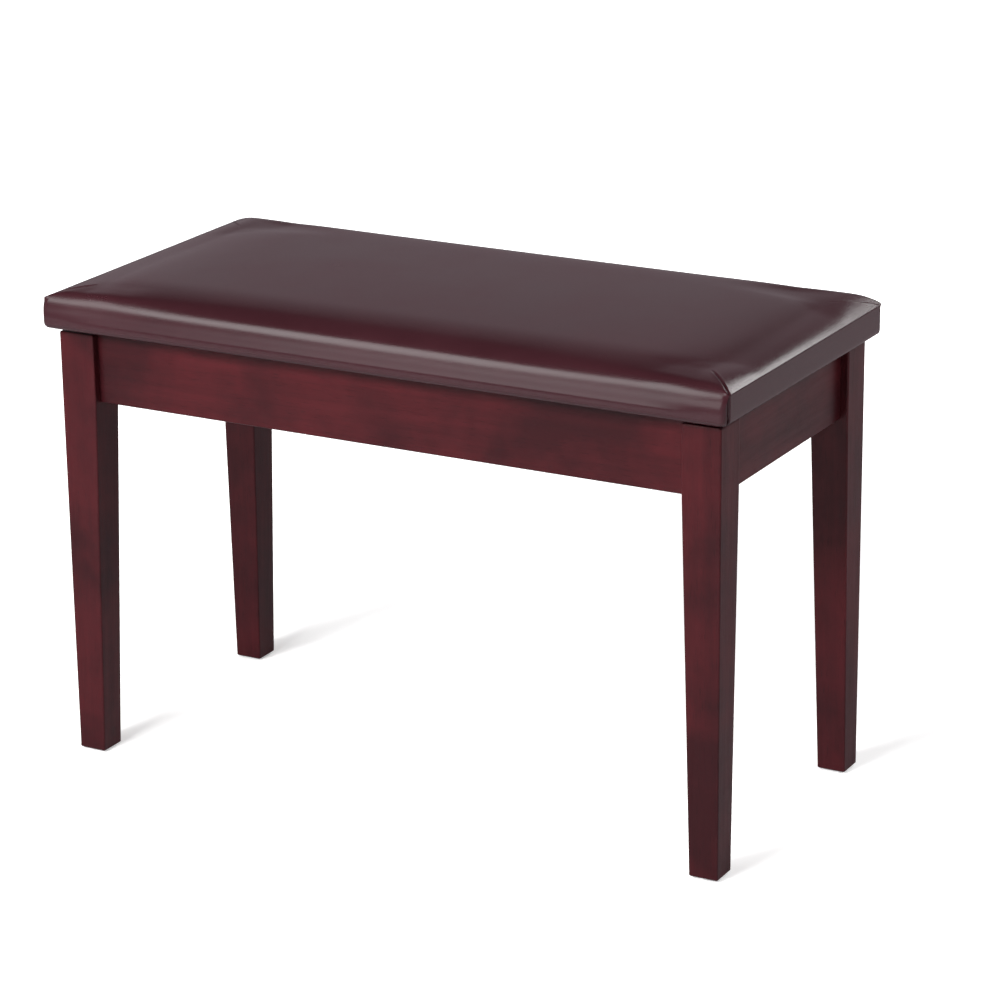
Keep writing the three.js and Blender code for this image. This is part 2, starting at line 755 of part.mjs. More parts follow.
const plateEnds = [
  { y: STAY_A.y - STAY_PLATE_REACH + STAY_PLATE_HALF_WIDTH, z: STAY_A.z },
  { y: STAY_A.y + STAY_PLATE_REACH - STAY_PLATE_HALF_WIDTH, z: STAY_A.z },
];
const framePlate = link(plateEnds[0], plateEnds[1], 0, STAY_PLATE_THICKNESS, STAY_PLATE_HALF_WIDTH);
add("stay_frame_plate", cut(framePlate, runningHole(STAY_A), ...stayWallHoles), "steel");

for (const { end, y } of STAY_WALL_SCREWS) {
  add(`stay_frame_screw_${end}`, wallScrew(y, STAY_A.z, STAY_PLATE_THICKNESS), "steel");
}

// the frame rivet sits in the plate and has its one head inside the lower arm
const frameRivetEnd = lowerOut + STAY_HEAD_GAP + STAY_HEAD_THICKNESS;
const frameRivet = stayBar(STAY_A, 0.1, frameRivetEnd, STAY_RIVET_RADIUS).add(
  stayBar(STAY_A, lowerOut + STAY_HEAD_GAP, frameRivetEnd, STAY_HEAD_RADIUS)
);
add("stay_frame_rivet", frameRivet, "steel");

// lower arm, with an ear past the elbow that carries the stop lug
const armAngle = Math.atan2(STAY_LID_DROP, STAY_FORWARD);
const lugAngle = armAngle + THREE.MathUtils.degToRad(STAY_LUG_ANGLE);
const lugPlace = {
  y: STAY_E.y + STAY_LUG_REACH * Math.cos(lugAngle),
  z: STAY_E.z + STAY_LUG_REACH * Math.sin(lugAngle),
};
const lowerBar = link(STAY_A, STAY_E, STAY_LOWER_OFFSET, STAY_ARM_THICKNESS, STAY_ARM_HALF_WIDTH);
const ear = link(STAY_E, lugPlace, STAY_LOWER_OFFSET, STAY_ARM_THICKNESS, STAY_LUG_RADIUS + 2);
const lug = stayBar(lugPlace, STAY_LOWER_OFFSET, upperOut, STAY_LUG_RADIUS);
const lowerArm = cut(lowerBar.add(ear).add(lug), runningHole(STAY_A), runningHole(STAY_E));
add("stay_lower_arm", lowerArm, "steel");

const elbowFrom = STAY_LOWER_OFFSET - STAY_HEAD_GAP - STAY_HEAD_THICKNESS;
const elbowTo = upperOut + STAY_HEAD_GAP + STAY_HEAD_THICKNESS;
add("stay_elbow_rivet", rivet(STAY_E, elbowFrom, elbowTo), "steel");

const upperBar = link(STAY_E, STAY_B, STAY_UPPER_OFFSET, STAY_ARM_THICKNESS, STAY_ARM_HALF_WIDTH);
add("stay_upper_arm", cut(upperBar, runningHole(STAY_E), openHole(STAY_B)), "steel");

// lid bracket: a flange under the lid with a tab hanging down beside the upper arm
const tabTop = { y: STAY_B.y, z: LID_BOTTOM - STAY_ARM_THICKNESS };
const tabHalf = STAY_TAB_WIDTH / 2;
const tab = link(STAY_B, tabTop, STAY_TAB_OFFSET, STAY_ARM_THICKNESS, tabHalf);
const flangeFrom = stayX(STAY_TAB_OFFSET);
const flange = block(
  flangeFrom,
  flangeFrom + STAY_FLANGE_WIDTH,
  STAY_B.y - STAY_FLANGE_LENGTH / 2,
  STAY_B.y + STAY_FLANGE_LENGTH / 2,
  LID_BOTTOM - STAY_ARM_THICKNESS,
  LID_BOTTOM
);
const aboveFlange = block(
  flangeFrom - 5,
  flangeFrom + STAY_FLANGE_WIDTH,
  STAY_B.y - 30,
  STAY_B.y + 30,
  LID_BOTTOM - STAY_ARM_THICKNESS / 2,
  LID_BOTTOM + 30
);
const lidBracket = cut(tab, aboveFlange).add(flange);
add("stay_lid_bracket", cut(lidBracket, runningHole(STAY_B), ...stayLidHoles), "steel", lid);

for (const { end, y } of STAY_LID_SCREWS) {
  const screw = sunkScrew(STAY_FLANGE_X, y, LID_BOTTOM - STAY_ARM_THICKNESS, -1, STAY_SCREW_LENGTH);
  add(`stay_lid_screw_${end}`, screw, "steel", lid);
}

const lidRivetFrom = STAY_UPPER_OFFSET - STAY_HEAD_GAP - STAY_HEAD_THICKNESS;
const lidRivetTo = tabOut + STAY_HEAD_GAP + STAY_HEAD_THICKNESS;
add("stay_lid_rivet", rivet(STAY_B, lidRivetFrom, lidRivetTo), "steel", lid);

export default bench;
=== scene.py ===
import math

import bpy
from mathutils import Matrix, Vector
from mathutils.kdtree import KDTree


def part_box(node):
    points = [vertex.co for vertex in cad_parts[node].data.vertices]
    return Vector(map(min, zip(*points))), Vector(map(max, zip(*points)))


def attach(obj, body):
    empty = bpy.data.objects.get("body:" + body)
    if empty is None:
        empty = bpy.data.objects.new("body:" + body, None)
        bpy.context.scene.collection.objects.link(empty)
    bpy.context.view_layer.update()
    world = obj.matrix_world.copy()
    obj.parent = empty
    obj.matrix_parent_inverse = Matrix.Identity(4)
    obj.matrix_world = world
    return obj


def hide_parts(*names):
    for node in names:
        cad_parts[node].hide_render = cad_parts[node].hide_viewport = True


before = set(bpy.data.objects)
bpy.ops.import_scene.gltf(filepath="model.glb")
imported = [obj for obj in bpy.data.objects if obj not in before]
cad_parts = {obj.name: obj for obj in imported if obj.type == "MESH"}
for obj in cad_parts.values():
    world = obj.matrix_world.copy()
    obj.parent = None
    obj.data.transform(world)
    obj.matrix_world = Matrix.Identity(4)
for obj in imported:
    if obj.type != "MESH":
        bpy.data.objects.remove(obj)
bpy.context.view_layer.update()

MM = 0.001

# ---------------------------------------------------------------- bench measures, in metres

pad_low, pad_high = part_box("seat_cushion")
HALF_LENGTH = pad_high[0]
HALF_DEPTH = pad_high[1]
PAD_BOTTOM = pad_low[2]
PAD_TOP = pad_high[2]
board_low, board_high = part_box("lid_board")


# ---------------------------------------------------------------- hand tools

def active(piece):
    bpy.ops.object.select_all(action="DESELECT")
    piece.select_set(True)
    bpy.context.view_layer.objects.active = piece


def edit():
    bpy.ops.object.mode_set(mode="EDIT")


def done():
    bpy.ops.object.mode_set(mode="OBJECT")


def edit_edges(piece):
    """Edit mode on a piece, by its edges, with nothing picked."""
    active(piece)
    edit()
    bpy.ops.mesh.select_mode(type="EDGE")
    bpy.ops.mesh.select_all(action="DESELECT")


def extrude(height):
    """Extrudes the picked edges straight up, or down if the height is negative."""
    bpy.ops.mesh.extrude_edges_move(TRANSFORM_OT_translate={"value": (0, 0, height)})


def named(name):
    piece = bpy.context.active_object
    piece.name = name
    piece.data.name = name
    return piece


def unit(value):
    return max(0.0, min(1.0, value))


def ease(value):
    """Goes smoothly from 0 to 1."""
    value = unit(value)
    return value * value * (3 - 2 * value)


# ---------------------------------------------------------------- shader tools

def surface(name):
    finish = bpy.data.materials.new(name)
    finish.use_nodes = True
    tree = finish.node_tree
    tree.nodes.clear()
    out = node(tree, "ShaderNodeOutputMaterial")
    shader = node(tree, "ShaderNodeBsdfPrincipled")
    tree.links.new(shader.outputs["BSDF"], out.inputs["Surface"])
    return finish, tree, shader


def node(tree, kind, **values):
    made = tree.nodes.new(kind)
    for key, value in values.items():
        setattr(made, key, value)
    return made


def feed(tree, target, value):
    if isinstance(value, bpy.types.NodeSocket):
        tree.links.new(value, target)
    else:
        target.default_value = value


def noise(tree, vector, scale, detail=3.0, roughness=0.5, distortion=0.0):
    made = node(tree, "ShaderNodeTexNoise")
    feed(tree, made.inputs["Vector"], vector)
    feed(tree, made.inputs["Scale"], scale)
    feed(tree, made.inputs["Detail"], detail)
    feed(tree, made.inputs["Roughness"], roughness)
    feed(tree, made.inputs["Distortion"], distortion)
    return made.outputs["Fac"]


def spread(tree, value, low, high, to_low=0.0, to_high=1.0):
    """Stretches the values between low and high over the range from to_low to to_high."""
    made = node(tree, "ShaderNodeMapRange")
    feed(tree, made.inputs["Value"], value)
    feed(tree, made.inputs["From Min"], low)
    feed(tree, made.inputs["From Max"], high)
    feed(tree, made.inputs["To Min"], to_low)
    feed(tree, made.inputs["To Max"], to_high)
    return made.outputs["Result"]


def reckon(tree, operation, a, b):
    made = node(tree, "ShaderNodeMath", operation=operation)
    feed(tree, made.inputs[0], a)
    feed(tree, made.inputs[1], b)
    return made.outputs[0]


def times(tree, a, b):
    return reckon(tree, "MULTIPLY", a, b)


def plus(tree, a, b):
    return reckon(tree, "ADD", a, b)


def minus(tree, a, b):
    return reckon(tree, "SUBTRACT", a, b)


def stretch(tree, vector, amounts):
    made = node(tree, "ShaderNodeVectorMath", operation="MULTIPLY")
    feed(tree, made.inputs[0], vector)
    made.inputs[1].default_value = amounts
    return made.outputs[0]


def tint(tree, amount, dark, light):
    made = node(tree, "ShaderNodeMix", data_type="RGBA")
    feed(tree, made.inputs["Factor"], amount)
    feed(tree, made.inputs["A"], dark)
    feed(tree, made.inputs["B"], light)
    return made.outputs["Result"]


def place(tree, scale=(1, 1, 1), turn=(0, 0, 0), shift=(0, 0, 0)):
    """Object coordinates, stretched, turned and shifted."""
    where = node(tree, "ShaderNodeTexCoord")
    made = node(tree, "ShaderNodeMapping")
    tree.links.new(where.outputs["Object"], made.inputs["Vector"])
    made.inputs["Scale"].default_value = scale
    made.inputs["Rotation"].default_value = turn
    made.inputs["Location"].default_value = shift
    return made.outputs["Vector"]


def relief(tree, shader, height, distance, strength):
    bump = node(tree, "ShaderNodeBump")
    bump.inputs["Strength"].default_value = strength
    bump.inputs["Distance"].default_value = distance
    tree.links.new(height, bump.inputs["Height"])
    tree.links.new(bump.outputs["Normal"], shader.inputs["Normal"])


def effect(name, inputs, outputs):
    """An empty node group with named number and vector inputs and number outputs."""
    group = bpy.data.node_groups.new(name, "ShaderNodeTree")
    for label, kind in inputs:
        group.interface.new_socket(name=label, in_out="INPUT", socket_type=kind)
    for label in outputs:
        group.interface.new_socket(name=label, in_out="OUTPUT", socket_type="NodeSocketFloat")
    start = group.nodes.new("NodeGroupInput")
    end = group.nodes.new("NodeGroupOutput")
    return group, start.outputs, end.inputs


def use(tree, group, **values):
    made = node(tree, "ShaderNodeGroup")
    made.node_tree = group
    for key, value in values.items():
        feed(tree, made.inputs[key], value)
    return made.outputs


# ---------------------------------------------------------------- patterns shared by the finishes

NUMBER = "NodeSocketFloat"
VECTOR = "NodeSocketVector"

# how much the grain and the pores are drawn out along the board
GRAIN_STRETCH = (0.055, 1, 1)
PORE_STRETCH = (0.09, 1, 1)
# how coarse the figure and the pores are, beside the streaks
FIGURE_SCALE = 0.16
PORE_SCALE = 5.5

# cloudy patches of stain: how fine the small ones are, and how much each kind counts
SMALL_PATCH_SCALE = 3.3
BROAD_PATCH_SHARE = 0.72
SMALL_PATCH_SHARE = 0.28

# leather cells: how far they wander from an even pattern, and the pitting on top of them
CELL_WANDER = 0.0011
CELL_SMOOTHNESS = 0.35
PITTING = 0.5


def make_grain():
    """Wood grain running along the vector's X: soft figure, fine streaks and short pores."""
    group, given, result = effect(
        "wood_grain", [("Vector", VECTOR), ("Spacing", NUMBER)], ["Figure", "Streaks", "Pores"])
    along = stretch(group, given["Vector"], GRAIN_STRETCH)
    broad = times(group, given["Spacing"], FIGURE_SCALE)
    figure = noise(group, along, broad, detail=4, roughness=0.55, distortion=0.8)
    streaks = noise(group, along, given["Spacing"], detail=6, roughness=0.62, distortion=0.25)
    short = stretch(group, given["Vector"], PORE_STRETCH)
    pores = noise(group, short, times(group, given["Spacing"], PORE_SCALE), detail=2)
    group.links.new(spread(group, figure, 0.32, 0.68), result["Figure"])
    group.links.new(spread(group, streaks, 0.3, 0.7), result["Streaks"])
    group.links.new(spread(group, pores, 0.60, 0.70), result["Pores"])
    return group


def make_blotches():
    """Cloudy patches of heavier and lighter stain."""
    group, given, result = effect("stain_blotches", [("Vector", VECTOR), ("Size", NUMBER)], ["Patches"])
    broad = noise(group, given["Vector"], given["Size"], detail=2.5, distortion=0.35)
    finer = times(group, given["Size"], SMALL_PATCH_SCALE)
    small = noise(group, given["Vector"], finer, roughness=0.6, distortion=0.2)
    both = plus(group, times(group, broad, BROAD_PATCH_SHARE), times(group, small, SMALL_PATCH_SHARE))
    group.links.new(spread(group, both, 0.38, 0.62), result["Patches"])
    return group


def make_scuffs():
    """Sparse handling marks and dust, as a mask."""
    group, given, result = effect("handling_marks", [("Vector", VECTOR), ("Amount", NUMBER)], ["Marks"])
    broad = noise(group, given["Vector"], 26, detail=4, roughness=0.6)
    thin = noise(group, given["Vector"], 310, roughness=0.7)
    both = times(group, spread(group, broad, 0.5, 0.72), spread(group, thin, 0.45, 0.75))
    group.links.new(times(group, both, given["Amount"]), result["Marks"])
    return group


def make_pebble():
    """Fine pressed leather grain: small rounded cells with faint creases between them."""
    group, given, result = effect("leather_pebble", [("Vector", VECTOR), ("Cells", NUMBER)],
                                  ["Height", "Tone"])
    wander = noise(group, given["Vector"], 240, roughness=0.6)
    shifted = node(group, "ShaderNodeVectorMath", operation="ADD")
    group.links.new(given["Vector"], shifted.inputs[0])
    joined = node(group, "ShaderNodeCombineXYZ")
    small = times(group, wander, CELL_WANDER)
    for axis in "XYZ":
        group.links.new(small, joined.inputs[axis])
    group.links.new(joined.outputs[0], shifted.inputs[1])
    cells = node(group, "ShaderNodeTexVoronoi", feature="SMOOTH_F1")
    group.links.new(shifted.outputs[0], cells.inputs["Vector"])
    group.links.new(given["Cells"], cells.inputs["Scale"])
    cells.inputs["Smoothness"].default_value = CELL_SMOOTHNESS
    dome = spread(group, cells.outputs["Distance"], 0.15, 0.62, to_low=1.0, to_high=0.0)
    tone = noise(group, given["Vector"], 9, detail=4, roughness=0.55)
    group.links.new(plus(group, dome, times(group, wander, PITTING)), result["Height"])
    group.links.new(spread(group, tone, 0.35, 0.65), result["Tone"])
    return group


GRAIN = make_grain()
BLOTCHES = make_blotches()
MARKS = make_scuffs()
PEBBLE = make_pebble()


# ---------------------------------------------------------------- finishes

ALONG_X = (0, 0, 0)
ALONG_Y = (0, 0, math.radians(-90))
ALONG_Z = (0, math.radians(90), 0)
DIAGONAL = (0, 0, math.radians(45))

STAIN_DARK = (0.022, 0.0040, 0.0055, 1)
STAIN_RED = (0.080, 0.0095, 0.0125, 1)
STAIN_STREAK = (0.016, 0.003, 0.004, 1)
STAIN_PORE = (0.008, 0.002, 0.003, 1)
LEATHER_DARK = (0.0300, 0.0084, 0.0114, 1)
LEATHER_LIGHT = (0.0360, 0.0102, 0.0138, 1)
LEATHER_WORN = (0.05, 0.028, 0.027, 1)
HAND_GRIME = (0.03, 0.02, 0.016, 1)
ZINC_DULL = (0.50, 0.50, 0.47, 1)
ZINC_BRIGHT = (0.66, 0.65, 0.60, 1)
ZINC_TARNISH = (0.20, 0.17, 0.13, 1)
CLOTH_DARK = (0.010, 0.010, 0.011, 1)
CLOTH_LIGHT = (0.030, 0.029, 0.030, 1)

# how dark plywood's streaks are, beside its own darker colour
PLY_STREAK_SHADE = 0.45


def stained_wood(name, turn, shift):
    """Reddish brown stain under satin lacquer."""
    finish, tree, shader = surface(name)
    flat = place(tree, shift=shift)
    grain = use(tree, GRAIN, Vector=place(tree, turn=turn, shift=shift), Spacing=150.0)
    patches = use(tree, BLOTCHES, Vector=flat, Size=10.0)["Patches"]
    marks = use(tree, MARKS, Vector=flat, Amount=0.5)["Marks"]
    depth = plus(tree, times(tree, patches, 0.55), times(tree, grain["Figure"], 0.30))
    base = tint(tree, depth, STAIN_DARK, STAIN_RED)
    streaked = tint(tree, times(tree, grain["Streaks"], 0.32), base, STAIN_STREAK)
    pored = tint(tree, times(tree, grain["Pores"], 0.35), streaked, STAIN_PORE)
    tree.links.new(pored, shader.inputs["Base Color"])
    lacquer = spread(tree, grain["Streaks"], 0, 1, to_low=0.34, to_high=0.42)
    tree.links.new(plus(tree, lacquer, times(tree, marks, 0.2)), shader.inputs["Roughness"])
    shader.inputs["Coat Weight"].default_value = 0.12
    shader.inputs["Coat Roughness"].default_value = 0.22
    shader.inputs["Specular IOR Level"].default_value = 0.20
    height = minus(tree, times(tree, grain["Streaks"], 0.5), grain["Pores"])
    relief(tree, shader, height, distance=0.12 * MM, strength=0.35)
    return finish


def leather(name):
    finish, tree, shader = surface(name)
    flat = place(tree)
    pebble = use(tree, PEBBLE, Vector=flat, Cells=820.0)
    marks = use(tree, MARKS, Vector=flat, Amount=0.10)["Marks"]
    base = tint(tree, pebble["Tone"], LEATHER_DARK, LEATHER_LIGHT)
    worn = tint(tree, times(tree, marks, 0.12), base, LEATHER_WORN)
    tree.links.new(worn, shader.inputs["Base Color"])
    sheen = spread(tree, pebble["Tone"], 0, 1, to_low=0.23, to_high=0.27)
    tree.links.new(plus(tree, sheen, times(tree, marks, 0.15)), shader.inputs["Roughness"])
    shader.inputs["Specular IOR Level"].default_value = 0.55
    relief(tree, shader, pebble["Height"], distance=0.05 * MM, strength=0.45)
    return finish


def plywood(name, turn, pale, tan):
    finish, tree, shader = surface(name)
    flat = place(tree)
    grain = use(tree, GRAIN, Vector=place(tree, turn=turn), Spacing=90.0)
    marks = use(tree, MARKS, Vector=flat, Amount=0.6)["Marks"]
    base = tint(tree, grain["Figure"], pale, tan)
    shade = [colour * PLY_STREAK_SHADE for colour in tan[:3]] + [1]
    streaked = tint(tree, times(tree, grain["Streaks"], 0.35), base, shade)
    grimy = tint(tree, times(tree, marks, 0.4), streaked, HAND_GRIME)
    tree.links.new(grimy, shader.inputs["Base Color"])
    dry = spread(tree, grain["Streaks"], 0, 1, to_low=0.6, to_high=0.78)
    tree.links.new(dry, shader.inputs["Roughness"])
    height = minus(tree, grain["Streaks"], grain["Pores"])
    relief(tree, shader, height, distance=0.2 * MM, strength=0.5)
    return finish


def plated_steel(name):
    """Zinc plate, cloudy and slightly tarnished, with faint lines from the rolling."""
    finish, tree, shader = surface(name)
    flat = place(tree)
    drawn = noise(tree, place(tree, scale=(0.08, 1, 1)), 1800, roughness=0.6)
    cloud = noise(tree, flat, 120, roughness=0.6)
    marks = use(tree, MARKS, Vector=flat, Amount=1.0)["Marks"]
    base = tint(tree, spread(tree, cloud, 0.3, 0.7), ZINC_DULL, ZINC_BRIGHT)
    tarnished = tint(tree, times(tree, marks, 0.5), base, ZINC_TARNISH)
    tree.links.new(tarnished, shader.inputs["Base Color"])
    brushed = spread(tree, drawn, 0.3, 0.7, to_low=0.24, to_high=0.4)
    tree.links.new(brushed, shader.inputs["Roughness"])
    shader.inputs["Metallic"].default_value = 1.0
    relief(tree, shader, drawn, distance=0.04 * MM, strength=0.4)
    return finish


def moulded(name, dark, light, rough):
    """Plain plastic or rubber with a fine spark-eroded grain."""
    finish, tree, shader = surface(name)
    flat = place(tree)
    fine = noise(tree, flat, 1500, detail=2)
    cloud = noise(tree, flat, 60)
    tree.links.new(tint(tree, spread(tree, cloud, 0.3, 0.7), dark, light), shader.inputs["Base Color"])
    grainy = spread(tree, fine, 0.3, 0.7, to_low=rough - 0.08, to_high=rough + 0.08)
    tree.links.new(grainy, shader.inputs["Roughness"])
    relief(tree, shader, fine, distance=0.06 * MM, strength=0.5)
    return finish


def lining_cloth(name):
    """Black pressed-fibre cloth with a fine diamond emboss."""
    finish, tree, shader = surface(name)
    emboss = node(tree, "ShaderNodeTexVoronoi", feature="F1", distance="CHEBYCHEV")
    emboss.inputs["Scale"].default_value = 560
    emboss.inputs["Randomness"].default_value = 0.12
    tree.links.new(place(tree, turn=DIAGONAL), emboss.inputs["Vector"])
    fibres = noise(tree, place(tree), 900, detail=5, roughness=0.75, distortion=0.6)
    black = tint(tree, spread(tree, fibres, 0.3, 0.7), CLOTH_DARK, CLOTH_LIGHT)
    tree.links.new(black, shader.inputs["Base Color"])
    matt = spread(tree, fibres, 0.3, 0.7, to_low=0.85, to_high=0.97)
    tree.links.new(matt, shader.inputs["Roughness"])
    dips = spread(tree, emboss.outputs["Distance"], 0.18, 0.34)
    relief(tree, shader, plus(tree, dips, times(tree, fibres, 0.8)), distance=0.25 * MM, strength=0.7)
    return finish


# ---------------------------------------------------------------- seat cover: its profile

# height of the top, how much more the middle stands up, and how the cover is pulled down at the ends
CROWN = PAD_TOP + 0.2 * MM
MIDDLE_RISE = 1.8 * MM
END_DROP = 14.2 * MM
END_RUN = 30.0 * MM

# radius of the rolled foam, how far its top leans in, and how wide the slope up to the flat seat is
FRONT_ROLL = (26 * MM, math.radians(13), 58 * MM)
REAR_ROLL = (17 * MM, math.radians(2.5), 40 * MM)
FRONT_CORNER = 8 * MM
REAR_CORNER = 6 * MM

# where end and side meet: a sharp ridge at the corner, rounded over more and more further in
SHARP_BLEND = 0.3 * MM
SOFT_BLEND = 16 * MM
BLEND_START = 12 * MM
BLEND_REACH = 75 * MM


def corner_radius(y):
    return FRONT_CORNER if y < 0 else REAR_CORNER


def end_height(run):
    """Height of the top at a distance in from a short end, where the cover is pulled down hard."""
    return CROWN - END_DROP * math.exp(-run / END_RUN)


def roll_height(run, roll):
    """Height of the top at a distance in from a long side, over the rolled foam."""
    radius, tilt, reach = roll
    flat_from = radius * (1 - math.sin(tilt))
    slope_drop = reach * math.tan(tilt) / 2
    if run >= flat_from:
        return CROWN - slope_drop * max(0.0, 1 - (run - flat_from) / reach) ** 2
    centre = CROWN - slope_drop - radius * math.cos(tilt)
    across = radius - run
    return centre + math.sqrt(max(radius ** 2 - across ** 2, 0))


def lower_of(a, b, blend):
    """The lower of two heights, with the ridge between them rounded over."""
    part = unit(0.5 + (b - a) / (2 * blend))
    return b * (1 - part) + a * part - blend * part * (1 - part)


def top_height(x, y):
    end_run = HALF_LENGTH - abs(x)
    side_run = HALF_DEPTH - abs(y)
    away = math.hypot(end_run, side_run)
    blend = SHARP_BLEND + SOFT_BLEND * unit((away - BLEND_START) / BLEND_REACH)
    rise = MIDDLE_RISE * (1 - (x / HALF_LENGTH) ** 2) * (1 - (y / HALF_DEPTH) ** 2)
    over_roll = roll_height(side_run, FRONT_ROLL if y < 0 else REAR_ROLL)
    return rise + lower_of(end_height(end_run), over_roll, blend)


def rounded_corner(x, y):
    """Pulls a point of a square plan into the rounded corners."""
    radius = corner_radius(y)
    a = abs(x) - (HALF_LENGTH - radius)
    b = abs(y) - (HALF_DEPTH - radius)
    if a <= 0 or b <= 0:
        return x, y
    p = a / radius
    q = b / radius
    p, q = p * math.sqrt(1 - q * q / 2), q * math.sqrt(1 - p * p / 2)
    return (math.copysign(HALF_LENGTH - radius + p * radius, x),
            math.copysign(HALF_DEPTH - radius + q * radius, y))


# ---------------------------------------------------------------- seat cover: its mesh

COARSE_STEP = 7 * MM
STEP_GROWTH = 1.25

# mesh lines by distance in from an edge: the first few, how far the close ones reach, and their step
END_LINES = ([0, 0.5 * MM, 1.2 * MM], 42 * MM, 1.3 * MM)
ROLL_LINES = ([FRONT_ROLL[0] * (1 - math.cos(math.radians(angle))) for angle in (0, 8, 14, 20, 26)],
              54 * MM, 1.5 * MM)

# rings of the mesh below the rim: a share of the way down the wall, degrees round the tuck under the
# board, and a share of the way in along the hem
RINGS = [
    ("wall", 0.05), ("wall", 0.2), ("wall", 0.45), ("wall", 0.72), ("wall", 1.0),
    ("tuck", 30), ("tuck", 60), ("tuck", 90),
    ("hem", 0.5), ("hem", 1.0),
]
RING_STEP = 1 * MM

# radius of the tuck in millimetres at the rear, and how much larger it is at the front
REAR_TUCK_MM = 4.5
FRONT_TUCK_EXTRA_MM = 1.2

HEM_WIDTH = 29 * MM
HEM_X = HALF_LENGTH - HEM_WIDTH
HEM_Y = HALF_DEPTH - HEM_WIDTH
HEM_LEVEL = PAD_BOTTOM + 0.25 * MM
BOARD_GAP = 0.15 * MM
SAME_POINT = 1e-6
SMOOTH_BELOW = math.radians(35)


def spaced(half, first_runs, fine_reach, fine_step):
    """Mesh lines from -half to half, close together near both ends."""
    runs = list(first_runs)
    while runs[-1] < fine_reach:
        runs.append(runs[-1] + fine_step)
    step = fine_step
    while step < COARSE_STEP and runs[-1] + step < half:
        step *= STEP_GROWTH
        runs.append(runs[-1] + step)
    last = runs[-1]
    count = max(1, round((half - last) / COARSE_STEP))
    runs += [last + (half - last) * (line + 1) / count for line in range(count)]
    left = [-half + run for run in runs]
    return left + [-value for value in reversed(left[:-1])]


def shape_top():
    """The top of the seat as a grid, and the places of the points on its rim."""
    xs = spaced(HALF_LENGTH, *END_LINES)
    ys = spaced(HALF_DEPTH, *ROLL_LINES)
    bpy.ops.object.select_all(action="DESELECT")
    bpy.ops.mesh.primitive_grid_add(x_subdivisions=len(xs) - 1, y_subdivisions=len(ys) - 1, size=1)
    piece = named("leather_seat")
    columns = len(xs)
    for vertex in piece.data.vertices:
        x = xs[vertex.index % columns]
        y = ys[vertex.index // columns]
        vertex.co = (*rounded_corner(x, y), top_height(x, y))
    edit_edges(piece)
    bpy.ops.mesh.select_all(action="SELECT")
    bpy.ops.mesh.region_to_loop()
    done()
    return piece, {v.index: v.co.copy() for v in piece.data.vertices if v.select}


def ring_place(kind, amount, first):
    """Where a rim point goes on a ring below it."""
    tuck = (REAR_TUCK_MM + FRONT_TUCK_EXTRA_MM * ease(0.5 - first.y / (2 * HALF_DEPTH))) * MM
    radius = corner_radius(first.y)
    over_x = unit((abs(first.x) - (HALF_LENGTH - radius)) / radius)
    over_y = unit((abs(first.y) - (HALF_DEPTH - radius)) / radius)
    inward = Vector((-math.copysign(over_x, first.x), -math.copysign(over_y, first.y), 0))
    if inward.length > 0:
        inward.normalize()
    if kind == "wall":
        low = HEM_LEVEL + tuck
        return Vector((first.x, first.y, first.z + (low - first.z) * amount))
    if kind == "tuck":
        angle = math.radians(amount)
        depth = tuck * (1 - math.cos(angle))
        height = HEM_LEVEL + tuck - tuck * math.sin(angle)
        return Vector((first.x, first.y, height)) + inward * depth
    inner = Vector((first.x * HEM_X / HALF_LENGTH, first.y * HEM_Y / HALF_DEPTH, HEM_LEVEL))
    outer = Vector((first.x, first.y, HEM_LEVEL)) + inward * tuck
    return outer.lerp(inner, amount)


def wrap_under(piece, rim):
    """Extrudes the rim down the walls, round the tuck and in along the hem."""
    current = rim
    for kind, amount in RINGS:
        edit_edges(piece)
        done()
        for edge in piece.data.edges:
            edge.select = edge.vertices[0] in current and edge.vertices[1] in current
        for vertex in piece.data.vertices:
            vertex.select = vertex.index in current
        edit()
        extrude(-RING_STEP)
        done()
        finder = KDTree(len(current))
        firsts = list(current.items())
        for order, (index, _) in enumerate(firsts):
            finder.insert(piece.data.vertices[index].co - Vector((0, 0, RING_STEP)), order)
        finder.balance()
        fresh = {v.index: firsts[finder.find(v.co)[1]][1] for v in piece.data.vertices if v.select}
        for index, first in fresh.items():
            piece.data.vertices[index].co = ring_place(kind, amount, first)
        current = fresh


def close_pocket(piece):
    """Turns the hem's inner edge up and out into the pocket that holds the board."""
    pocket_floor = board_low[2] - BOARD_GAP
    pocket_roof = board_high[2] + BOARD_GAP
    stretch_x = (board_high[0] + BOARD_GAP) / HEM_X
    stretch_y = (board_high[1] + BOARD_GAP) / HEM_Y
    edit_edges(piece)
    bpy.ops.mesh.select_non_manifold()
    turns = [(1, 1, pocket_floor), (stretch_x, stretch_y, pocket_floor), (1, 1, pocket_roof)]
    for wide, deep, height in turns:
        extrude(0.01 * MM)
        done()
        for vertex in piece.data.vertices:
            if vertex.select:
                vertex.co = (vertex.co.x * wide, vertex.co.y * deep, height)
        edit()
    extrude(0)
    bpy.ops.mesh.merge(type="CENTER")
    bpy.ops.mesh.select_all(action="SELECT")
    bpy.ops.mesh.remove_doubles(threshold=SAME_POINT)
    bpy.ops.mesh.normals_make_consistent(inside=False)
    done()
    bpy.ops.object.shade_smooth_by_angle(angle=SMOOTH_BELOW)


# ---------------------------------------------------------------- seat cover: fullness

CLOTH_FRAMES = 20
COVER_CLOTH = {
    "quality": 6, "mass": 0.25,
    "tension_stiffness": 18, "compression_stiffness": 10,
    "shear_stiffness": 8, "bending_stiffness": 0.6,
    "use_pressure": True, "uniform_pressure_force": 4,
    "vertex_group_mass": "held",
}

# how far a point may move, and how often each move is averaged with its neighbours' moves
SWELL = 1.6 * MM
AVERAGINGS = 30

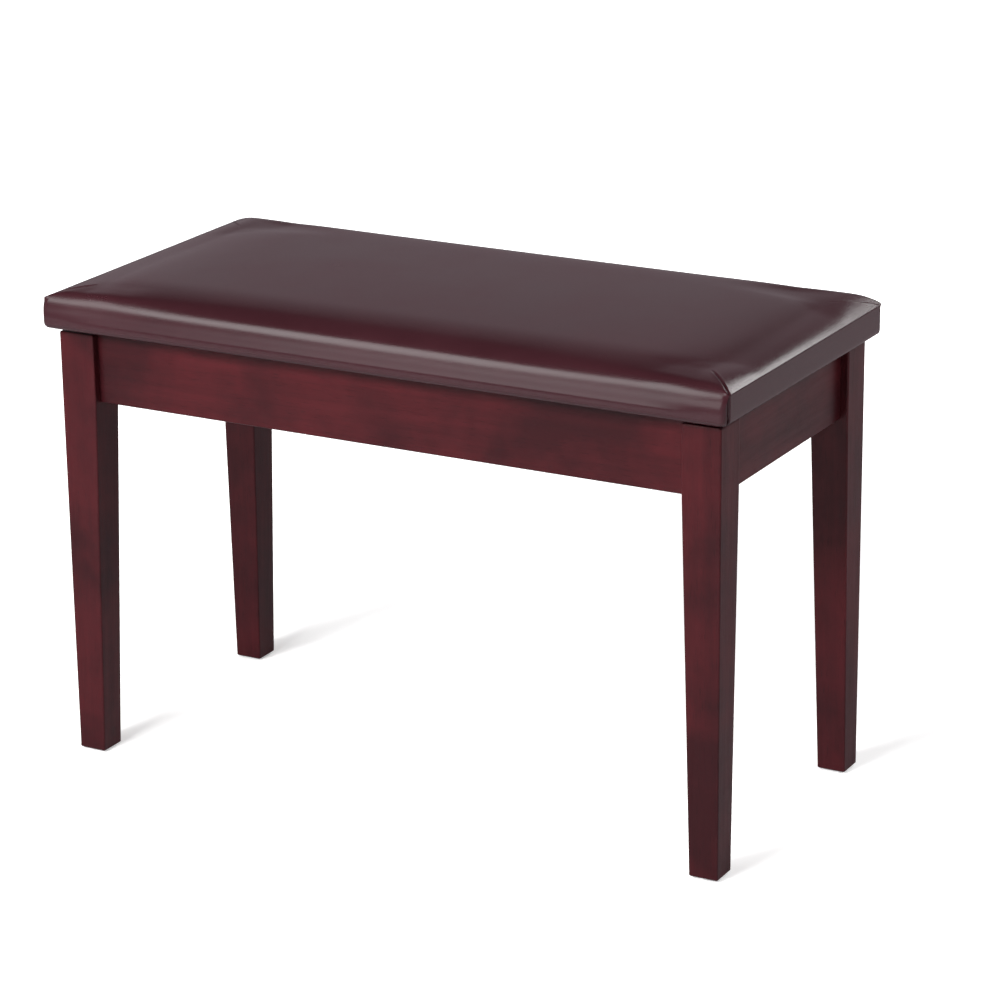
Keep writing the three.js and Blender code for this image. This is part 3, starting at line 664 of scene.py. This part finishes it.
# the cover is held below this height, this close to the ends, and this close to the board
HELD_HEIGHT = 9 * MM
HELD_END = 1.5 * MM
HELD_BOARD = 1 * MM

# distances over which the moves fade in: from the ends, from the corners and up from the held part
END_FADE = 50 * MM
CORNER_FADE = 90 * MM
HEIGHT_FADE = 8 * MM


def is_free(point):
    over_board = (abs(point.x) <= board_high[0] + HELD_BOARD and abs(point.y) <= board_high[1] + HELD_BOARD
                  and point.z < board_high[2] + HELD_BOARD)
    return (not over_board and point.z > PAD_BOTTOM + HELD_HEIGHT
            and HALF_LENGTH - abs(point.x) > HELD_END)


def inflate(piece):
    """Foam pressure under the stretched cover, as a short cloth run."""
    held = piece.vertex_groups.new(name="held")
    for vertex in piece.data.vertices:
        held.add([vertex.index], 0.0 if is_free(vertex.co) else 1.0, "REPLACE")
    cloth = piece.modifiers.new("cover", "CLOTH")
    for setting, value in COVER_CLOTH.items():
        setattr(cloth.settings, setting, value)
    cloth.settings.effector_weights.gravity = 0
    cloth.collision_settings.use_collision = False
    cloth.point_cache.frame_start = 1
    cloth.point_cache.frame_end = CLOTH_FRAMES
    scene = bpy.context.scene
    for step in range(1, CLOTH_FRAMES + 1):
        scene.frame_set(step)
    active(piece)
    bpy.ops.object.modifier_apply(modifier=cloth.name)
    scene.frame_set(1)
    piece.vertex_groups.clear()


def swell(piece, cap):
    """The fullness that the pressure gives the cover, kept small, even and away from the corners."""
    before = [v.co.copy() for v in piece.data.vertices]
    inflate(piece)
    moves = []
    for vertex, first in zip(piece.data.vertices, before):
        move = vertex.co - first
        if move.length > cap:
            move *= cap / move.length
        moves.append(move)
    beside = [[] for _ in before]
    for edge in piece.data.edges:
        a, b = edge.vertices
        beside[a].append(b)
        beside[b].append(a)
    for _ in range(AVERAGINGS):
        moves = [sum((moves[other] for other in near), move) / (len(near) + 1)
                 for move, near in zip(moves, beside)]
    for vertex, first, move in zip(piece.data.vertices, before, moves):
        run = HALF_LENGTH - abs(first.x)
        side = HALF_DEPTH - abs(first.y)
        above = first.z - PAD_BOTTOM - HELD_HEIGHT
        vertex.co = first + (move * ease(run / END_FADE) * ease(math.hypot(run, side) / CORNER_FADE)
                             * ease(above / HEIGHT_FADE))


def refine(piece):
    rounding = piece.modifiers.new("round", "SUBSURF")
    rounding.subdivision_type = "CATMULL_CLARK"
    rounding.levels = 1
    rounding.render_levels = 1
    active(piece)
    bpy.ops.object.modifier_apply(modifier=rounding.name)


# ---------------------------------------------------------------- seat cover: corner folds

# the mitre crease's two ends, measured in from the short end and in from the long side
CREASE_START = (1.2 * MM, 8.8 * MM)
CREASE_END = (39 * MM, 50.5 * MM)
CREASE_LEAD_IN = 2 * MM
CREASE_LEAD_OUT = 15 * MM
REAR_CREASE_SHARE = 0.4

# ripples across the crease and the slit: how high, how far from the middle, and how wide
GROOVE = (1.5 * MM, 0, 0.75 * MM)
SIDE_LIP = (0.22 * MM, 2.1 * MM, 1.1 * MM)
END_LIP = (0.12 * MM, -2.0 * MM, 1.2 * MM)
SLIT = (2.6 * MM, 0, 1.5 * MM)

# the folded leather round a corner: a sharp step in from the end face, a slow return on the long side
FOLD_STEP = 5.0 * MM
FOLD_STEP_WIDTH = 0.9 * MM
FOLD_RETURN = 2.4 * MM
FOLD_RETURN_WIDTH = 8.5 * MM
FOLD_RETURN_POWER = 1.6

# where the corner work reaches: in from the end and the side, and up from the bottom of the pad
CREASE_REACH = (45 * MM, 56 * MM)
FOLD_REACH = 20 * MM
FOLD_BOTTOM = 1 * MM
FOLD_TOP = 31 * MM
FOLD_TOP_FADE = 5 * MM
FOLD_BOTTOM_FADE = 4 * MM

# the crease is on faces that look up more than this, and fades in over the next
CREASE_FACING = 0.35
CREASE_FACING_FADE = 0.2
# the fold is on faces that look up less than this, and sideways more than the next
FOLD_FACING_UP = 0.8
FOLD_FACING_OUT = 0.3
LEAST_MOVE = 0.01 * MM


def ripple(across, height, middle, width):
    return height * math.exp(-((across - middle) / width) ** 2)


def crease_depth(run, side):
    """How deep the mitre crease is at a place on the top; negative on its raised lips."""
    along_x, along_y = CREASE_END[0] - CREASE_START[0], CREASE_END[1] - CREASE_START[1]
    length = math.hypot(along_x, along_y)
    px, py = run - CREASE_START[0], side - CREASE_START[1]
    along = (px * along_x + py * along_y) / length
    across = (px * along_y - py * along_x) / length
    if along < -CREASE_LEAD_IN or along > length:
        return 0.0
    fade = ease((length - along) / CREASE_LEAD_OUT) * ease((along + CREASE_LEAD_IN) / CREASE_LEAD_IN)
    return (ripple(across, *GROOVE) - ripple(across, *SIDE_LIP) - ripple(across, *END_LIP)) * fade


def fold_depth(run, side, radius):
    """How far the wall is tucked in, by the way round the corner from the end face to the long side."""
    if side > radius:
        around = -(side - radius)
    elif run > radius:
        around = radius * math.pi / 2 + (run - radius)
    else:
        around = radius * math.atan2(radius - side, radius - run)
    if around < 0:
        return FOLD_STEP * ease((around + FOLD_STEP_WIDTH) / FOLD_STEP_WIDTH)
    back = FOLD_RETURN * max(0.0, 1 - around / FOLD_RETURN_WIDTH) ** FOLD_RETURN_POWER
    return ripple(around, *SLIT) + back


def pinch_corners(piece):
    """The mitre crease on the top of each corner and the folded leather below it."""
    moves = []
    for vertex in piece.data.vertices:
        x, y, z = vertex.co
        run = HALF_LENGTH - abs(x)
        side = HALF_DEPTH - abs(y)
        if run > CREASE_REACH[0] or side > CREASE_REACH[1] or z < PAD_BOTTOM + FOLD_BOTTOM:
            continue
        normal = vertex.normal
        move = Vector((0, 0, 0))
        if normal.z > CREASE_FACING:
            depth = crease_depth(run, side) * (1.0 if y < 0 else REAR_CREASE_SHARE)
            move -= normal * depth * ease((normal.z - CREASE_FACING) / CREASE_FACING_FADE)
        flat = Vector((normal.x, normal.y, 0))
        on_wall = flat.length > FOLD_FACING_OUT and normal.z < FOLD_FACING_UP
        if on_wall and run < FOLD_REACH and side < FOLD_REACH:
            upper = ease((PAD_BOTTOM + FOLD_TOP - z) / FOLD_TOP_FADE)
            lower = ease((z - PAD_BOTTOM) / FOLD_BOTTOM_FADE)
            move -= flat.normalized() * fold_depth(run, side, corner_radius(y)) * upper * lower
        if move.length > LEAST_MOVE:
            moves.append((vertex.index, move))
    for index, move in moves:
        piece.data.vertices[index].co += move
    piece.data.update()


# ---------------------------------------------------------------- the seat

seat, rim = shape_top()
wrap_under(seat, rim)
swell(seat, SWELL)
refine(seat)
pinch_corners(seat)
close_pocket(seat)

seat.data.materials.append(leather("dark_brown_leather"))
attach(seat, "lid")
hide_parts("seat_cushion")


# ---------------------------------------------------------------- finishes on the frame's own pieces

STEEL = plated_steel("zinc_plate")
GLIDE = moulded("glide_nylon", (0.012, 0.010, 0.010, 1), (0.022, 0.019, 0.018, 1), rough=0.5)
BUMPER = moulded("bumper_rubber", (0.50, 0.47, 0.40, 1), (0.62, 0.60, 0.53, 1), rough=0.6)
LINING = lining_cloth("lining_cloth")
BOARD = plywood("lid_board_ply", ALONG_X, (0.44, 0.31, 0.19, 1), (0.33, 0.21, 0.12, 1))
PANEL = plywood("storage_ply", ALONG_X, (0.30, 0.17, 0.09, 1), (0.20, 0.10, 0.055, 1))
BLOCK = plywood("block_beech", DIAGONAL, (0.27, 0.12, 0.07, 1), (0.18, 0.07, 0.045, 1))

CORNERS = ("back_right", "back_left", "front_left", "front_right")
APRONS = (("front", ALONG_X), ("rear", ALONG_X), ("left", ALONG_Y), ("right", ALONG_Y))


def dress(name, finish):
    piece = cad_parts[name]
    piece.data.materials.clear()
    piece.data.materials.append(finish)


# each leg and apron is cut from another part of the wood, so the grain is shifted from one to the next
for order, corner in enumerate(CORNERS):
    dress("leg_" + corner, stained_wood("leg_stain_" + corner, ALONG_Z, (0.37 * order, 0.11 * order, 0.2)))
    dress("foot_glide_" + corner, GLIDE)
    dress("corner_block_" + corner, BLOCK)
    for fixing in ("hanger_bolt_", "washer_", "wing_nut_"):
        dress(fixing + corner, STEEL)
for order, (side, turn) in enumerate(APRONS):
    dress("apron_" + side, stained_wood("apron_stain_" + side, turn, (0.53 * order, 0.29, 0.4 * order)))
dress("storage_panel", PANEL)
dress("lid_board", BOARD)
dress("dust_cover", LINING)
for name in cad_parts:
    if name.startswith("hinge_") or name.startswith("stay_"):
        dress(name, STEEL)
    if name.startswith("lid_bumper_"):
        dress(name, BUMPER)


# ---------------------------------------------------------------- studio

FLOOR_SIZE = 40
FLOOR_TONES = ((0.84, 0.84, 0.84, 1), (0.87, 0.87, 0.87, 1))
FLOOR_GLOW_NEAR = (0.38, 0.38, 0.38, 1)
FLOOR_GLOW_FAR = (1, 1, 1, 1)
FLOOR_GLOW_REACH = (0.5, 1.5)
# what the bench gets back from the floor
FLOOR_RETURN = (0.34, 0.30, 0.315, 1)
FLOOR_RETURN_GLOW = (0.09, 0.075, 0.08, 1)

BLACK = (0.0, 0.0, 0.0, 1)
SKY = (1.0, 0.88, 0.95, 1)
SKY_STRENGTH = 0.37
# how high in the surroundings the light starts to fade, where it has faded, and what is left of it
SKY_FADE = (0.25, 0.44, 1.0, 0.03)

# place, aim, width, height, watts, and whether it shows in reflections
LAMPS = {
    "key": ((-0.64, -2.42, 1.86), (0, 0, 0.3), 1.2, 0.9, 120, False),
    "nose_strip": ((-1.2, -1.25, 2.35), (0, -0.15, 0.48), 1.3, 1.1, 20, True),
    "end_strip": ((0.41, 2.5, 2.13), (0.35, 0, 0.48), 0.9, 0.5, 10, True),
    "front_panel": ((-0.9, -2.7, 1.45), (0, 0, 0.42), 1.6, 1.3, 11, True),
    "rear_fill": ((0.5, 3.1, 1.5), (0, 0, 0.35), 2.2, 1.4, 50, False),
    "right_side": ((2.2, -0.3, 1.9), (0.3, 0, 0.35), 0.9, 0.9, 30, False),
}

CAMERA_PLACE = Vector((1.6738, -2.9334, 1.4015))
CAMERA_TURN = math.radians(29.053)
CAMERA_LIFT = math.radians(18.440)
CAMERA_ROLL = math.radians(-0.667)
SENSOR_WIDTH = 36
FOCAL_LENGTH = 3.5675 * SENSOR_WIDTH


def lay_floor():
    """Pale paper that looks evenly lit, and gives little of its brightness back to the bench."""
    bpy.ops.object.select_all(action="DESELECT")
    bpy.ops.mesh.primitive_plane_add(size=FLOOR_SIZE, location=(0, 0, 0))
    ground = named("studio_floor")
    finish, tree, shader = surface("studio_paper")
    tone = noise(tree, place(tree), 1.5, detail=2)
    pale = tint(tree, tone, *FLOOR_TONES)
    seen = node(tree, "ShaderNodeLightPath").outputs["Is Camera Ray"]
    away = node(tree, "ShaderNodeVectorMath", operation="LENGTH")
    tree.links.new(place(tree), away.inputs[0])
    far = spread(tree, away.outputs["Value"], *FLOOR_GLOW_REACH)
    glow = tint(tree, far, FLOOR_GLOW_NEAR, FLOOR_GLOW_FAR)
    tree.links.new(tint(tree, seen, FLOOR_RETURN, pale), shader.inputs["Base Color"])
    tree.links.new(tint(tree, seen, FLOOR_RETURN_GLOW, glow), shader.inputs["Emission Color"])
    shader.inputs["Emission Strength"].default_value = 1.0
    shader.inputs["Roughness"].default_value = 0.9
    shader.inputs["Specular IOR Level"].default_value = 0.1
    ground.data.materials.append(finish)


def soft_light(name, place_at, aim_at, width, height, watts, in_reflections):
    lamp = bpy.data.lights.new(name, "AREA")
    lamp.shape = "RECTANGLE"
    lamp.size = width
    lamp.size_y = height
    lamp.energy = watts
    holder = bpy.data.objects.new(name, lamp)
    bpy.context.scene.collection.objects.link(holder)
    holder.location = place_at
    holder.rotation_euler = (Vector(aim_at) - Vector(place_at)).to_track_quat("-Z", "Y").to_euler()
    holder.visible_glossy = in_reflections


def world_light():
    """Light from below and all round the bench, fading to almost nothing overhead."""
    world = bpy.data.worlds.new("studio")
    bpy.context.scene.world = world
    world.use_nodes = True
    tree = world.node_tree
    tree.nodes.clear()
    out = node(tree, "ShaderNodeOutputWorld")
    background = node(tree, "ShaderNodeBackground")
    where = node(tree, "ShaderNodeTexCoord")
    split = node(tree, "ShaderNodeSeparateXYZ")
    tree.links.new(where.outputs["Generated"], split.inputs["Vector"])
    level = spread(tree, split.outputs["Z"], *SKY_FADE)
    tree.links.new(tint(tree, level, BLACK, SKY), background.inputs["Color"])
    background.inputs["Strength"].default_value = SKY_STRENGTH
    tree.links.new(background.outputs["Background"], out.inputs["Surface"])


def set_camera():
    camera_data = bpy.data.cameras.new("studio_camera")
    camera = bpy.data.objects.new("studio_camera", camera_data)
    bpy.context.scene.collection.objects.link(camera)
    camera_data.sensor_width = SENSOR_WIDTH
    camera_data.lens = FOCAL_LENGTH
    camera_data.dof.use_dof = False
    camera_data.clip_end = 100
    back = Vector((math.sin(CAMERA_TURN) * math.cos(CAMERA_LIFT),
                   -math.cos(CAMERA_TURN) * math.cos(CAMERA_LIFT), math.sin(CAMERA_LIFT)))
    right = (-back).cross(Vector((0, 0, 1))).normalized()
    up = right.cross(-back)
    rolled_right = math.cos(CAMERA_ROLL) * right + math.sin(CAMERA_ROLL) * up
    rolled_up = -math.sin(CAMERA_ROLL) * right + math.cos(CAMERA_ROLL) * up
    camera.matrix_world = Matrix((
        (rolled_right.x, rolled_up.x, back.x, CAMERA_PLACE.x),
        (rolled_right.y, rolled_up.y, back.y, CAMERA_PLACE.y),
        (rolled_right.z, rolled_up.z, back.z, CAMERA_PLACE.z),
        (0, 0, 0, 1),
    ))
    bpy.context.scene.camera = camera


lay_floor()
world_light()
for name, lamp in LAMPS.items():
    soft_light(name, *lamp)
set_camera()
bpy.context.scene.view_settings.view_transform = "Standard"
